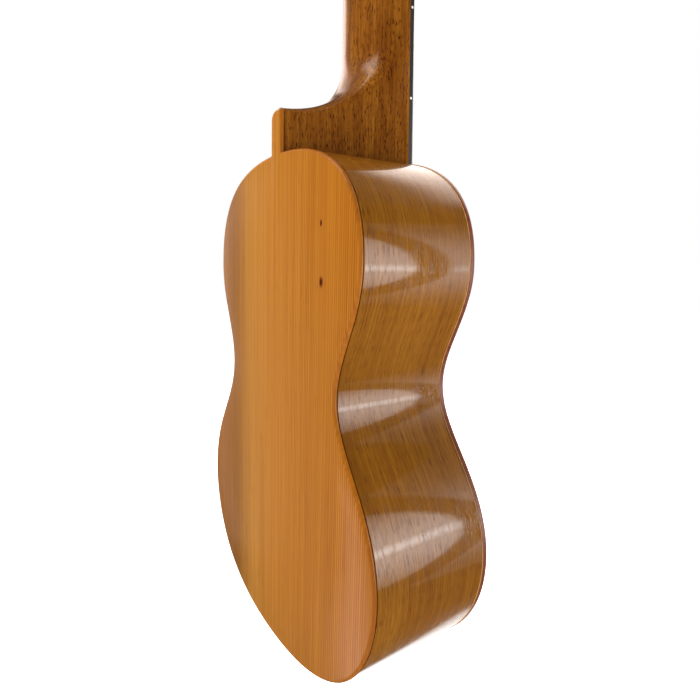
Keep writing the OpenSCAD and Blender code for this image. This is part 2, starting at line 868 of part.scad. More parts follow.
soundboard();
back_plate();
left_side();
right_side();
neck_block();
tail_block();
top_linings();
back_linings();
top_braces();
back_braces();
bridge_plate();
rosette();
bridge();
saddle();
neck();
headstock();
headstock_veneer();
fretboard();
frets();
nut();
position_dots();
left_tuner_plate();
right_tuner_plate();
tuner_plate_screws();
post_bushings();
for (c = [1:5]) {
    course(c);
}
for (i = TUNERS) {
    post(i);
    worm(i);
    button(i);
}
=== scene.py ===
import math
import bpy
import bmesh
import numpy as np
from mathutils import Matrix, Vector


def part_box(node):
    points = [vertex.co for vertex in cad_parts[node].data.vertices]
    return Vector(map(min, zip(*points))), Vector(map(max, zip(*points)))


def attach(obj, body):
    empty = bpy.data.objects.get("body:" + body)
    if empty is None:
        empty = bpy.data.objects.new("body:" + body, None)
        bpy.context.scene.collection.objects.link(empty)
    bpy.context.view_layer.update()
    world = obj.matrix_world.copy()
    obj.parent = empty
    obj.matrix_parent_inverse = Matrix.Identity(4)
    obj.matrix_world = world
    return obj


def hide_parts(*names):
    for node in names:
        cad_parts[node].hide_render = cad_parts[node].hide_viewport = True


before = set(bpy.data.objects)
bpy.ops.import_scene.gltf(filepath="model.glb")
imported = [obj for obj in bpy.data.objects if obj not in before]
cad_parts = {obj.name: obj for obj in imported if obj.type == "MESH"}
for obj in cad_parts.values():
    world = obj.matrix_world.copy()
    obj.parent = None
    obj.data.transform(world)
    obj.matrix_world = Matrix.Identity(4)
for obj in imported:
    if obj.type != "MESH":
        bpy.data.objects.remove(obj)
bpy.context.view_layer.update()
mm = 0.001
bandUnit = 0.314  # scale at which a wave texture's band is one unit wide


def corners(node):
    # lowest and highest corner of a CAD node, in millimetres
    lo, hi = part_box(node)
    return np.array(lo) / mm, np.array(hi) / mm


boardLow, boardHigh = corners("soundboard")
tailZ = boardLow[2]
jointZ = boardHigh[2]
bodyLen = jointZ - tailZ
print("frame loaded, body", round(bodyLen, 1), "mm long")

# Rear three-quarter view from close by, a little above the middle of the body.
viewer = {
    "azimuth": 236.26,
    "elevation": 9.09,
    "roll": 0.52,
    "distance": 256.0,
    "target": (-20.0, 30.0, 155.0),  # millimetres, height above the tail
    "lens": 26.65,
}


def lookingFrom(azimuth, elevation):
    # right, up and back of something that looks at the body; azimuth 0 looks along +Y
    a, e = math.radians(azimuth), math.radians(elevation)
    back = np.array([math.sin(a) * math.cos(e), -math.cos(a) * math.cos(e), math.sin(e)])
    right = np.array([math.cos(a), math.sin(a), 0.0])
    return right, np.cross(back, right), back


def placed(*columns):
    # matrix whose first three columns are axes and whose last is a place
    turn = Matrix.Identity(4)
    for i, column in enumerate(columns):
        for j in range(3):
            turn[j][i] = column[j]
    return turn


def makeCamera():
    right, up, back = lookingFrom(viewer["azimuth"], viewer["elevation"])
    r = math.radians(viewer["roll"])
    across = math.cos(r) * right + math.sin(r) * up
    upward = math.cos(r) * up - math.sin(r) * right
    place = np.array(viewer["target"]) + [0, 0, tailZ] + viewer["distance"] * back
    data = bpy.data.cameras.new("camera")
    data.lens = viewer["lens"]
    data.sensor_width = 36
    data.clip_start = 0.01
    cam = bpy.data.objects.new("camera", data)
    bpy.context.scene.collection.objects.link(cam)
    cam.matrix_world = placed(across, upward, back, place * mm)
    bpy.context.scene.camera = cam


makeCamera()
bpy.context.scene.view_settings.view_transform = "Standard"
print("camera placed")


def tone(hexColour):
    # sRGB hex to linear: c/12.92 below 0.04045, else ((c + 0.055)/1.055)^2.4
    c = np.array([int(hexColour[i:i + 2], 16) for i in (0, 2, 4)]) / 255
    line = np.where(c <= 0.04045, c / 12.92, ((c + 0.055) / 1.055) ** 2.4)
    return (*line.tolist(), 1.0)


def addNode(tree, kind, inputs=None, **settings):
    # one node with its settings; an input is a plain value or another node's socket
    node = tree.nodes.new(kind)
    for key, value in settings.items():
        setattr(node, key, value)
    for key, value in (inputs or {}).items():
        if isinstance(value, bpy.types.NodeSocket):
            tree.links.new(value, node.inputs[key])
        else:
            node.inputs[key].default_value = value
    return node


def addRamp(tree, factor, stops):
    ramp = addNode(tree, "ShaderNodeValToRGB", {"Fac": factor})
    marks = ramp.color_ramp.elements
    while len(marks) < len(stops):
        marks.new(0.5)
    for mark, (place, colour) in zip(marks, stops):
        mark.position = place
        mark.color = tone(colour)
    return ramp.outputs["Color"]


def newMaterial(name, **shader):
    # a Principled material; plain values go straight on the shader's own sockets
    material = bpy.data.materials.new(name)
    material.use_nodes = True
    tree = material.node_tree
    surface = tree.nodes["Principled BSDF"]
    for key, value in shader.items():
        surface.inputs[key.replace("_", " ")].default_value = value
    return material, tree, surface


def stretched(tree, pitch, coords="Object"):
    # pattern space with one unit per pitch: millimetres along each axis
    place = addNode(tree, "ShaderNodeTexCoord").outputs[coords]
    per = [1 / p if coords == "UV" else 1 / (p * mm) for p in pitch]
    return addNode(tree, "ShaderNodeMapping", {"Vector": place, "Scale": per}).outputs["Vector"]


def mixTones(tree, factor, first, second, blend="MULTIPLY"):
    node = addNode(tree, "ShaderNodeMix", data_type="RGBA", blend_type=blend)
    for socket, value in zip((node.inputs[0], node.inputs[6], node.inputs[7]), (factor, first, second)):
        if isinstance(value, bpy.types.NodeSocket):
            tree.links.new(value, socket)
        else:
            socket.default_value = value
    return node.outputs[2]


def depthFacing(tree):
    # 1 where a face looks straight along the depth axis, 0 on a board's edge
    facing = addNode(tree, "ShaderNodeNewGeometry").outputs["Normal"]
    depthwise = addNode(tree, "ShaderNodeSeparateXYZ", {"Vector": facing}).outputs["Y"]
    return addNode(tree, "ShaderNodeMath", {0: depthwise}, operation="ABSOLUTE").outputs[0]


def woodMaterial(name, look):
    # Planed and lacquered wood: fine growth lines, slow drift of tone along the board, open
    # pores as short dark dashes, and a clear coat that sinks a little into the grain.
    material, tree, surface = newMaterial(
        name, Roughness=look["roughness"], Coat_Weight=look["coat"],
        Coat_Roughness=look["coatRoughness"], Coat_IOR=1.5, IOR=1.5,
        Specular_IOR_Level=look.get("under", 0.5),  # lacquer wets the wood, so little gloss below it
    )
    coords = look.get("coords", "Object")
    fine = addNode(tree, "ShaderNodeTexNoise", {
        "Vector": stretched(tree, look["line"], coords), "Scale": 1.0, "Detail": 4.0,
        "Roughness": 0.55, "Distortion": 0.12,
    }).outputs["Fac"]
    broad = addNode(tree, "ShaderNodeTexNoise", {
        "Vector": stretched(tree, look["drift"], coords), "Scale": 1.0, "Detail": 2.0,
    }).outputs["Fac"]
    pores = addNode(tree, "ShaderNodeTexNoise", {
        "Vector": stretched(tree, look["pore"], coords), "Scale": 1.0, "Detail": 1.0,
    }).outputs["Fac"]
    low, mid, high = look["tones"]
    colour = addRamp(tree, fine, [(0.34, low), (0.5, mid), (0.66, high)])
    colour = mixTones(tree, 1.0, colour, addRamp(tree, broad, [(0.3, look["shade"]), (0.7, "ffffff")]))
    dash = addRamp(tree, pores, [(look["poreCut"], "ffffff"), (look["poreCut"] + 0.05, look["poreTone"])])
    colour = mixTones(tree, 1.0, colour, dash)
    if "ring" in look:  # latewood: tone falls slowly across each growth ring, then jumps back
        ring = addNode(tree, "ShaderNodeTexWave", {
            "Vector": stretched(tree, look["ring"], coords), "Scale": bandUnit,
            "Distortion": 2.2, "Detail": 3.0, "Detail Scale": 0.8,
        }, bands_direction="X", wave_profile="SAW").outputs["Fac"]
        late = addRamp(tree, ring, [
            (0.0, "ffffff"), (0.45, "f6efe6"), (0.82, look["lateTone"]), (1.0, "f4ebe0"),
        ])
        rows = mixTones(tree, addRamp(tree, broad, [(0.35, "585858"), (0.6, "ffffff")]), colour,
                        mixTones(tree, 1.0, colour, late), "MIX")
        flat = addRamp(tree, depthFacing(tree), [(0.8, "000000"), (0.97, "ffffff")])
        colour = mixTones(tree, flat, mixTones(tree, 1.0, colour, tone("ecd9c0")), rows, "MIX")
    if "sheenAndShadeAcross" in look:  # painted sheen and shade: tone changes from one edge of the board to the other as the light falls across it
        place = addNode(tree, "ShaderNodeTexCoord").outputs["Object"]
        sideways = addNode(tree, "ShaderNodeSeparateXYZ", {"Vector": place}).outputs["X"]
        half = look["halfWidth"] * mm
        across = addNode(tree, "ShaderNodeMapRange", {"Value": sideways, "From Min": -half, "From Max": half})
        colour = mixTones(tree, 1.0, colour, addRamp(tree, across.outputs["Result"], look["sheenAndShadeAcross"]))
    for spot in look.get("knots", []):
        colour = addKnot(tree, colour, spot)
    if "edgeTone" in look:  # end grain drinks more lacquer, so the board's edge is darker
        edge = addRamp(tree, depthFacing(tree), [(0.5, look["edgeTone"]), (0.8, "ffffff")])
        colour = mixTones(tree, 1.0, colour, edge)
    tree.links.new(colour, surface.inputs["Base Color"])
    depth = addNode(tree, "ShaderNodeBump", {"Height": dash, "Distance": 0.05 * mm, "Strength": look["bump"]})
    skin = addNode(tree, "ShaderNodeBump", {
        "Height": fine, "Distance": 0.05 * mm, "Strength": look["coatBump"],
        "Normal": depth.outputs["Normal"],
    })
    tree.links.new(depth.outputs["Normal"], surface.inputs["Normal"])
    tree.links.new(skin.outputs["Normal"], surface.inputs["Coat Normal"])
    return material


def addKnot(tree, colour, spot):
    # pin knot: darkening that falls off with the distance from its middle, longer along the grain
    place = addNode(tree, "ShaderNodeTexCoord").outputs["Object"]
    x, y, z, size = (v * mm for v in spot)
    slender = 1.6
    local = addNode(tree, "ShaderNodeMapping", {
        "Vector": place, "Location": (-x / size, -y / size, -z / size / slender),
        "Scale": (1 / size, 1 / size, 1 / size / slender),
    }).outputs["Vector"]
    away = addNode(tree, "ShaderNodeVectorMath", {0: local}, operation="LENGTH").outputs["Value"]
    shade = addRamp(tree, away, [(0.0, "4a2410"), (0.35, "6e3a18"), (0.6, "c08a58"), (1.0, "ffffff")])
    return mixTones(tree, 1.0, colour, shade)


def metalMaterial(name, colour, roughness, wear):
    # turned or stamped metal: slight tarnish that changes the roughness from place to place
    material, tree, surface = newMaterial(name, Metallic=1.0)
    cloud = addNode(tree, "ShaderNodeTexNoise", {
        "Vector": stretched(tree, (3, 3, 3)), "Scale": 1.0, "Detail": 3.0,
    }).outputs["Fac"]
    grit = addNode(tree, "ShaderNodeMapRange", {
        "Value": cloud, "From Min": 0.3, "From Max": 0.7, "To Min": roughness, "To Max": roughness + wear,
    })
    tree.links.new(grit.outputs["Result"], surface.inputs["Roughness"])
    tree.links.new(addRamp(tree, cloud, colour), surface.inputs["Base Color"])
    return material


def plainMaterial(name, stops, pitch, roughness, bump=0.1, **shader):
    # cloudy solid such as bone or plastic: two tones mixed by noise at a real pitch
    material, tree, surface = newMaterial(name, Roughness=roughness, **shader)
    cloud = addNode(tree, "ShaderNodeTexNoise", {
        "Vector": stretched(tree, pitch), "Scale": 1.0, "Detail": 4.0,
    }).outputs["Fac"]
    tree.links.new(addRamp(tree, cloud, stops), surface.inputs["Base Color"])
    grain = addNode(tree, "ShaderNodeBump", {"Height": cloud, "Distance": 0.03 * mm, "Strength": bump})
    tree.links.new(grain.outputs["Normal"], surface.inputs["Normal"])
    return material


# Cedar, quartersawn, satin lacquer: warm gold, growth rings 1.5 mm wide, two pin knots.
cedar = woodMaterial("cedar_satin_lacquer", {
    "line": (1.3, 30, 150), "drift": (26, 60, 400), "pore": (0.5, 20, 16), "poreCut": 0.68,
    "tones": ("ad7a2a", "b78430", "c08e39"), "shade": "ecdfd0", "poreTone": "dcc8ae",
    "ring": (1.5, 60, 260), "lateTone": "c49c6e",
    # painted sheen and shade across the back: lightest a little +X of the middle, dull and grey towards the
    # +X edge, warmer gold towards the -X edge
    "sheenAndShadeAcross": [(0.0, "f0d6a4"), (0.3, "f6e2ba"), (0.52, "fff0da"), (0.66, "fffaf2"), (0.8, "ccc0ba"),
               (1.0, "dccac0")],
    "halfWidth": 86.8, "under": 0.06,
    "roughness": 0.42, "coat": 0.35, "coatRoughness": 0.22, "bump": 0.15, "coatBump": 0.05,
    "knots": [(-43.7, 60.6, tailZ + 189.2, 1.8), (-43.0, 60.1, tailZ + 213.1, 1.1)],
})
# Walnut, bent sides, high-gloss lacquer: olive brown, fine dark pores along the bend.
walnut = woodMaterial("walnut_gloss_lacquer", {
    "coords": "UV", "line": (70, 0.9, 1), "drift": (160, 9, 1), "pore": (7, 0.28, 1), "poreCut": 0.6,
    "tones": ("7a4a0c", "85540f", "905e15"), "shade": "e4dccc", "poreTone": "c0a680", "under": 0.05,
    "roughness": 0.36, "coat": 1.0, "coatRoughness": 0.05, "bump": 0.25, "coatBump": 0.12,
})
# Mahogany, carved neck, gloss lacquer: warm brown, flecked with pores about 3 mm long.
mahogany = woodMaterial("mahogany_gloss_lacquer", {
    "line": (1.1, 1.1, 26), "drift": (9, 9, 60), "pore": (0.45, 0.45, 3.2), "poreCut": 0.6,
    "tones": ("7a4610", "8c5514", "9e651c"), "shade": "d0bfa6", "poreTone": "86683f", "under": 0.05,
    "roughness": 0.36, "coat": 0.9, "coatRoughness": 0.09, "bump": 0.3, "coatBump": 0.08,
})
# Spruce, quartersawn, satin lacquer: pale cream with straight lines about 1 mm apart.
spruce = woodMaterial("spruce_satin_lacquer", {
    "line": (0.9, 30, 180), "drift": (30, 60, 300), "pore": (0.5, 20, 10), "poreCut": 0.72,
    "tones": ("cf9c56", "deb470", "e8c68a"), "shade": "efe6da", "poreTone": "e0cba8",
    "roughness": 0.45, "coat": 0.4, "coatRoughness": 0.2, "bump": 0.15, "coatBump": 0.04,
    "edgeTone": "8a4a26",
})
# Spruce and cedar inside, planed and left bare.
bareWood = woodMaterial("spruce_bare_planed", {
    "line": (1.2, 1.2, 60), "drift": (20, 20, 120), "pore": (0.5, 0.5, 8), "poreCut": 0.7,
    "tones": ("c9a46c", "d8b680", "e2c594"), "shade": "e8dfd0", "poreTone": "d0b890",
    "roughness": 0.75, "coat": 0.0, "coatRoughness": 0.3, "bump": 0.3, "coatBump": 0.0,
})
# Ebony, oiled: nearly black with faint brown streaks.
ebony = woodMaterial("ebony_oiled", {
    "line": (0.8, 0.8, 40), "drift": (8, 8, 120), "pore": (0.3, 0.3, 3), "poreCut": 0.64,
    "tones": ("1c1710", "272016", "34291c"), "shade": "cfc8c2", "poreTone": "6a5c50",
    "roughness": 0.42, "coat": 0.15, "coatRoughness": 0.3, "bump": 0.25, "coatBump": 0.0,
})


def rosetteMaterial():
    # Rosette: stained and natural veneers in rings 0.4 to 2.4 mm wide, mottled in small patches.
    material, tree, surface = newMaterial("rosette_veneer_rings", Roughness=0.38, Coat_Weight=0.5)
    lo, hi = corners("rosette")
    middle, half = (lo + hi) / 2 * mm, (hi[0] - lo[0]) / 2 * mm
    inlay = 6 * mm  # width of the whole rosette's band
    place = addNode(tree, "ShaderNodeTexCoord").outputs["Object"]
    local = addNode(tree, "ShaderNodeVectorMath", {0: place, 1: tuple(middle)}, operation="SUBTRACT")
    flat = addNode(tree, "ShaderNodeVectorMath", {0: local.outputs[0], 1: (1, 0, 1)}, operation="MULTIPLY")
    away = addNode(tree, "ShaderNodeVectorMath", {0: flat.outputs[0]}, operation="LENGTH").outputs["Value"]
    across = addNode(tree, "ShaderNodeMapRange", {
        "Value": away, "From Min": half - inlay, "From Max": half,
    }).outputs["Result"]
    rings = addRamp(tree, across, [
        (0.0, "2a1509"), (0.12, "e0c48c"), (0.18, "2a1509"), (0.3, "8a4c22"), (0.7, "2a1509"),
        (0.82, "e0c48c"), (0.88, "2a1509"),
    ])
    tree.nodes[-1].color_ramp.interpolation = "CONSTANT"
    patches = addNode(tree, "ShaderNodeTexNoise", {
        "Vector": stretched(tree, (2.4, 4, 2.4)), "Scale": 1.0, "Detail": 2.0,
    }).outputs["Fac"]
    shade = addRamp(tree, patches, [(0.35, "b8a48c"), (0.6, "ffffff")])
    tree.links.new(mixTones(tree, 1.0, rings, shade), surface.inputs["Base Color"])
    return material


rosetteWood = rosetteMaterial()
# Bone, polished: ivory with soft clouds.
bone = plainMaterial("bone_polished", [(0.3, "e2d6b8"), (0.7, "f2ead6")], (3, 3, 6), 0.3)
# Mother of pearl, ground flush: pale with cool and warm clouds.
pearl = plainMaterial("pearl_ground_flush", [(0.3, "cfd6d2"), (0.5, "eeeae0"), (0.7, "e6cfc8")],
                      (1.2, 1.2, 1.2), 0.22, Coat_Weight=0.6)
# Cellulose pearloid, moulded and buffed: creamy swirls under gloss.
pearloid = plainMaterial("pearloid_moulded", [(0.3, "d6c9a6"), (0.5, "f0e8d0"), (0.72, "fbf7ea")],
                         (4, 4, 4), 0.2, Coat_Weight=0.8, Coat_Roughness=0.05)
# Nylon monofilament: clear, slightly milky.
nylon = plainMaterial("nylon_monofilament", [(0.3, "dcdcd6"), (0.7, "f0f0ec")], (1, 1, 8), 0.2,
                      0.02, Transmission_Weight=0.5, IOR=1.53)
# Nickel silver, filed and polished: fret wire.
nickel = metalMaterial("nickel_silver_polished", [(0.3, "b8b2a4"), (0.7, "cdc8bc")], 0.16, 0.12)
# Gold-plated brass, stamped and turned.
brass = metalMaterial("brass_gold_plated", [(0.3, "d0a650"), (0.7, "ecc873")], 0.32, 0.16)
print("finishes made")


def gridFaces(rows, cols, closeRows=False, closeCols=False):
    # quads of a rows by cols grid of points, wound from one row to the next
    r = np.arange(rows if closeRows else rows - 1)
    c = np.arange(cols if closeCols else cols - 1)
    i, j = np.meshgrid(r, c, indexing="ij")
    a, b = i * cols + j, i * cols + (j + 1) % cols
    up, upNext = ((i + 1) % rows) * cols + j, ((i + 1) % rows) * cols + (j + 1) % cols
    return np.stack([a, b, upNext, up], -1).reshape(-1, 4)


def joined(*shapes):
    # several (points, faces, uv) shapes as one
    points, faces, maps, base = [], [], [], 0
    for p, f, uv in shapes:
        points.append(p)
        faces.append(f + base)
        maps.append(uv if uv is not None else np.zeros((len(p), 2)))
        base += len(p)
    return np.concatenate(points), np.concatenate(faces), np.concatenate(maps)


def makePiece(name, shape, material, body, replaces=(), sharp=32):
    # points in millimetres to a finished mesh piece: doubles merged, faces outward
    points, faces, uv = shape
    mesh = bpy.data.meshes.new(name)
    mesh.from_pydata((points * mm).tolist(), [], faces.tolist())
    if uv is not None:
        layer = mesh.uv_layers.new(name="surface")
        corner = np.empty(len(mesh.loops), np.int32)
        mesh.loops.foreach_get("vertex_index", corner)
        layer.data.foreach_set("uv", uv[corner].ravel())
    bm = bmesh.new()
    bm.from_mesh(mesh)
    bmesh.ops.remove_doubles(bm, verts=bm.verts, dist=2e-6)
    bmesh.ops.dissolve_degenerate(bm, edges=bm.edges, dist=1e-6)
    bmesh.ops.recalc_face_normals(bm, faces=bm.faces)
    bm.to_mesh(mesh)
    bm.free()
    mesh.shade_smooth()
    mesh.set_sharp_from_angle(angle=math.radians(sharp))
    mesh.materials.append(material)
    piece = bpy.data.objects.new(name, mesh)
    bpy.context.scene.collection.objects.link(piece)
    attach(piece, body)
    if replaces:
        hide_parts(*replaces)
    return piece


def keepNode(name, material):
    # a CAD node whose shape is right keeps its mesh and takes a finish
    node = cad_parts[name]
    if not node.material_slots:
        node.data.materials.append(material)
    for i in range(len(node.material_slots)):
        node.material_slots[i].material = material


def bezier(knots, t):
    # cubic curve: (1-t)^3 a + 3(1-t)^2 t b + 3(1-t) t^2 c + t^3 d
    a, b, c, d = (np.array(k, float) for k in knots)
    t = np.asarray(t, float)[:, None]
    return (1 - t) ** 3 * a + 3 * (1 - t) ** 2 * t * b + 3 * (1 - t) * t ** 2 * c + t ** 3 * d


def inward(loop, closed=True):
    # unit normals of a counter-clockwise loop, pointing inwards
    if closed:
        step = np.roll(loop, -1, 0) - np.roll(loop, 1, 0)
    else:
        step = np.gradient(loop, axis=0)
    step = step / np.maximum(np.linalg.norm(step, axis=1), 1e-9)[:, None]
    return np.stack([-step[:, 1], step[:, 0]], -1)


def evenly(line, count):
    # the same line with points at equal distances along it
    run = np.concatenate([[0], np.cumsum(np.linalg.norm(np.diff(line, axis=0), axis=1))])
    at = np.linspace(0, run[-1], count)
    return np.stack([np.interp(at, run, line[:, i]) for i in range(line.shape[1])], -1)


def slab(loop, y0, y1, radius, hole=None, rings=3):
    # Board cut to a loop in X and Z, from depth y0 to y1, its edges rounded to a radius: each ring
    # is the loop moved in by r(1 - sin a) and in depth by r(1 - cos a). A hole is a ring inside.
    side = inward(loop)
    a = np.linspace(0, math.pi / 2, rings + 1)
    low = [(radius * (1 - math.sin(v)), y0 + radius * (1 - math.cos(v))) for v in a]
    high = [(radius * (1 - math.sin(v)), y1 - radius * (1 - math.cos(v))) for v in a[::-1]]
    rims = [(loop + d * side, y) for d, y in low + high]
    if hole is None:
        middle = np.repeat(loop.mean(0)[None], len(loop), 0)
    else:
        (cx, cz), r = hole
        ray = loop - [cx, cz]
        middle = [cx, cz] + r * ray / np.linalg.norm(ray, axis=1)[:, None]
    inner = [middle + (rims[0][0] - middle) * f for f in (0.0, 0.35, 0.7)]
    rows = [(p, y0) for p in inner] + rims + [(p, y1) for p in inner[::-1]]
    points = np.concatenate([np.column_stack([p[:, 0], np.full(len(p), y), p[:, 1]]) for p, y in rows])
    faces = gridFaces(len(rows), len(loop), closeRows=hole is not None, closeCols=True)
    return points, faces, None


body = {
    "lowerX": corners("soundboard")[1][0],  # half the lower bout
    "waistX": 55.1,
    "upperX": 71.5,
    "lowerZ": 65.8,
    "waistZ": 141.9,
    "upperZ": 195.7,
    "tailDepth": 64.1,
    "neckDepth": 59.5,
    "boardThickness": 2.6,
    "backThickness": 2.4,
    "sideThickness": 1.8,
    "boardEdge": 0.5,   # rounding of the soundboard's edge
    "edgeRadius": 1.4,  # rounding of the back's edge
    "overhang": 0.3,    # of the plates beyond the ribs
    "holeRadius": 28.0,
}
lean = math.atan((body["tailDepth"] - body["neckDepth"]) / bodyLen)


def halfOutline(count=260):
    # right half from the tail to the neck: four cubic curves through the bouts and the waist
    b = body
    lower, waist, upper = (b["lowerX"], b["lowerZ"]), (b["waistX"], b["waistZ"]), (b["upperX"], b["upperZ"])
    t = np.linspace(0, 1, 90)
    parts = [
        bezier([(0, 0), (72.6, 0), (lower[0], lower[1] - 22.5), lower], t),
        bezier([lower, (lower[0], lower[1] + 37), (waist[0], waist[1] - 24.5), waist], t)[1:],
        bezier([waist, (waist[0], waist[1] + 17.1), (upper[0], upper[1] - 20.4), upper], t)[1:],
        bezier([upper, (upper[0], upper[1] + 41.7), (37.3, bodyLen), (0, bodyLen)], t)[1:],
    ]
    line = evenly(np.concatenate(parts), count)
    line[:, 1] += tailZ
    return line


def wholeOutline():
    half = halfOutline()
    return np.concatenate([half, (half * [-1, 1])[-2:0:-1]])


def backDepth(z):
    # outer face of the back: falls evenly from the tail to the neck
    return body["tailDepth"] - (z - tailZ) * math.tan(lean)


def leaned(shape, y0):
    # a level slab turned into the back's plane: its depth follows backDepth
    points, faces, uv = shape
    points = points.copy()
    points[:, 1] += backDepth(points[:, 2]) - y0
    return points, faces, uv


def ribShape(side):
    # Bent rib: a rectangle (outer face, inner face) carried along half of the outline. UV is
    # the distance along the rib and the depth, in millimetres.
    line = halfOutline(300)
    normal = inward(line, closed=False)
    normal[0], normal[-1] = (0, 1), (0, -1)
    outer = line + body["overhang"] * normal
    inner = line + body["sideThickness"] * normal
    far = backDepth(outer[:, 1]) - body["backThickness"]
    near = body["boardThickness"]
    across = 9  # points over the rib's depth, on each face
    depth = near + np.linspace(0, 1, across)[None] * (far - near)[:, None]
    loopX, loopZ = (np.concatenate([np.repeat(face[:, k:k + 1], across, 1) for face in (outer, inner)], 1)
                    for k in (0, 1))
    loopY = np.concatenate([depth, depth[:, ::-1]], 1)
    points = np.stack([side * loopX, loopY, loopZ], -1).reshape(-1, 3)
    run = np.concatenate([[0], np.cumsum(np.linalg.norm(np.diff(line, axis=0), axis=1))])
    otherBoard = 400 * (side > 0)  # the right rib takes its figure from further along the board
    uv = np.stack([np.repeat(run[:, None], 2 * across, 1) + otherBoard, loopY], -1).reshape(-1, 2)
    faces = gridFaces(len(line), 2 * across, closeCols=True)
    ends = endCaps(points.reshape(len(line), 2 * across, 3), uv.reshape(len(line), 2 * across, 2))
    return joined((points, faces, uv), *ends)


def endCaps(rows, uv=None):
    # closes the first and last ring of a swept shape with a fan to its middle
    caps = []
    for k in (0, -1):
        ring = rows[k]
        middle = np.repeat(ring.mean(0)[None], len(ring), 0)
        points = np.concatenate([ring, middle])
        flat = None if uv is None else np.concatenate([uv[k], np.repeat(uv[k].mean(0)[None], len(ring), 0)])
        caps.append((points, gridFaces(2, len(ring), closeCols=True), flat))
    return caps


heelCap = {"halfWidth": 5.2, "height": 19.5, "nearCorner": 1.2, "farCorner": 4.6}


def backLoop():
    # the body's outline with the tongue that covers the heel, its two upper corners rounded
    w, top = heelCap["halfWidth"], jointZ + heelCap["height"]
    a = np.linspace(0, math.pi / 2, 12)
    far, near = heelCap["farCorner"], heelCap["nearCorner"]
    half = halfOutline()
    half = half[~((half[:, 0] < w) & (half[:, 1] > tailZ + bodyLen / 2))]
    rise = np.linspace(jointZ, top - far, 12)
    right = np.column_stack([w - far + far * np.cos(a), top - far + far * np.sin(a)])
    left = np.column_stack([near - w - near * np.sin(a), top - near + near * np.cos(a)])
    return np.concatenate([
        half, np.column_stack([np.full(11, w), rise[:-1]]), right, left,
        np.column_stack([np.full(11, -w), rise[-2::-1]]), (half * [-1, 1])[:0:-1],
    ])


def makeBody():
    b = body
    outline = wholeOutline()
    low, high = corners("rosette")
    hole = ((0.0, low[2] + (high[2] - low[2]) / 2), b["holeRadius"])
    top = slab(outline, 0.0, b["boardThickness"], b["boardEdge"], hole)
    makePiece("soundboard_panel", top, spruce, "root", ("soundboard",))
    plate = leaned(slab(backLoop(), -b["backThickness"], 0.0, b["edgeRadius"]), 0.0)
    makePiece("back_panel", plate, cedar, "root", ("back_plate",))
    for side, name in ((-1, "left"), (1, "right")):
        makePiece(name + "_rib", ribShape(side), walnut, "root", (name + "_side",), 50)


makeBody()
print("body made")

neck = {
    "depth": 15.0,
    "power": 2.3,          # roundness of the section
    "nutHalf": 22.0,
    "jointHalf": 25.0,
    "capHalf": 5.2,
    "heelDepth": 57.1,
    "edge": [(57.1, 17.9), (34, 17.9), (24, 25.5), (15, 52)],     # depth and height above the joint
    "crown": [(57.1, 20.4), (34, 21.4), (16, 33), (15, 52)],
    "fade": 52,            # height at which the heel has faded into the neck
    "foot": -2.2,
    "footRun": 12,         # length of board that the heel's straight cap spreads over
    "spliceAngle": 14.0,
    "nutThickness": 4.0,
}


def halfWidth(z):
    return neck["nutHalf"] + (neck["jointHalf"] - neck["nutHalf"]) * z / jointZ


def neckStations():
    # front line, edge line and crown line of every section from the foot of the heel to the nut
    n = neck
    rise = np.linspace(0, 1, 8)
    cap = np.column_stack([np.full(8, n["heelDepth"]), n["foot"] + rise * (n["edge"][0][1] - n["foot"])])
    bend = np.linspace(0, 1, 46)[1:]
    edge = np.concatenate([cap, bezier(n["edge"], bend)])
    crown = np.concatenate([cap, bezier(n["crown"], bend)])
    crown[7, 1] = n["crown"][0][1]
    run = n["footRun"]
    front = np.concatenate([n["foot"] + rise * run, n["foot"] + run + bend * (n["fade"] - run - n["foot"])])
    blend = np.concatenate([np.zeros(8), np.clip((bend - 0.12) / 0.88, 0, 1)])
    blend = blend ** 2 * (3 - 2 * blend)
    up = np.linspace(n["fade"], n["nutThickness"] - jointZ, 60)[1:]
    straight = np.column_stack([np.full(59, n["depth"]), up])
    edge, crown = (np.concatenate([line, straight]) + [0, jointZ] for line in (edge, crown))
    front = np.concatenate([front, up]) + jointZ
    return front, edge, crown, np.concatenate([blend, np.ones(59)])


def neckSections():
    # Each section goes from the front edge along the side to the crown. In the heel the side is
    # straight and the top crowned; higher up it is |x/w|^p + |y/d|^p = 1; b mixes the two.
    n = neck
    front, edge, crown, b = neckStations()
    q = np.concatenate([np.linspace(0, 0.55, 12), np.linspace(0.57, 0.66, 5), np.linspace(0.7, 1, 10)])
    rise = np.clip(q / 0.6, 0, 1)
    over = np.clip((q - 0.6) / 0.4, 0, 1)
    wide = halfWidth(front)
    taper = (n["jointHalf"] - n["capHalf"]) * edge[:, 0] / n["heelDepth"]
    edgeHalf = np.minimum(n["jointHalf"] - taper, wide)
    a = np.pi / 2 * q
    roundX = wide[:, None] * np.cos(a) ** (2 / n["power"])
    roundD = np.sin(a) ** (2 / n["power"])
    heelX = (wide[:, None] + (edgeHalf - wide)[:, None] * rise) * (1 - over)
    heelD = rise
    lift = (1 - (1 - over) ** 2)[None] * np.ones_like(wide)[:, None]
    x = (1 - b)[:, None] * heelX + b[:, None] * roundX
    depth = (1 - b)[:, None] * heelD + b[:, None] * roundD
    lift = (1 - b)[:, None] * lift + b[:, None]
    tip = edge[:, None] + (crown - edge)[:, None] * lift[..., None]
    base = np.column_stack([np.zeros_like(front), front])[:, None]
    place = base + depth[..., None] * (tip - base)
    return x, place[..., 0], place[..., 1]


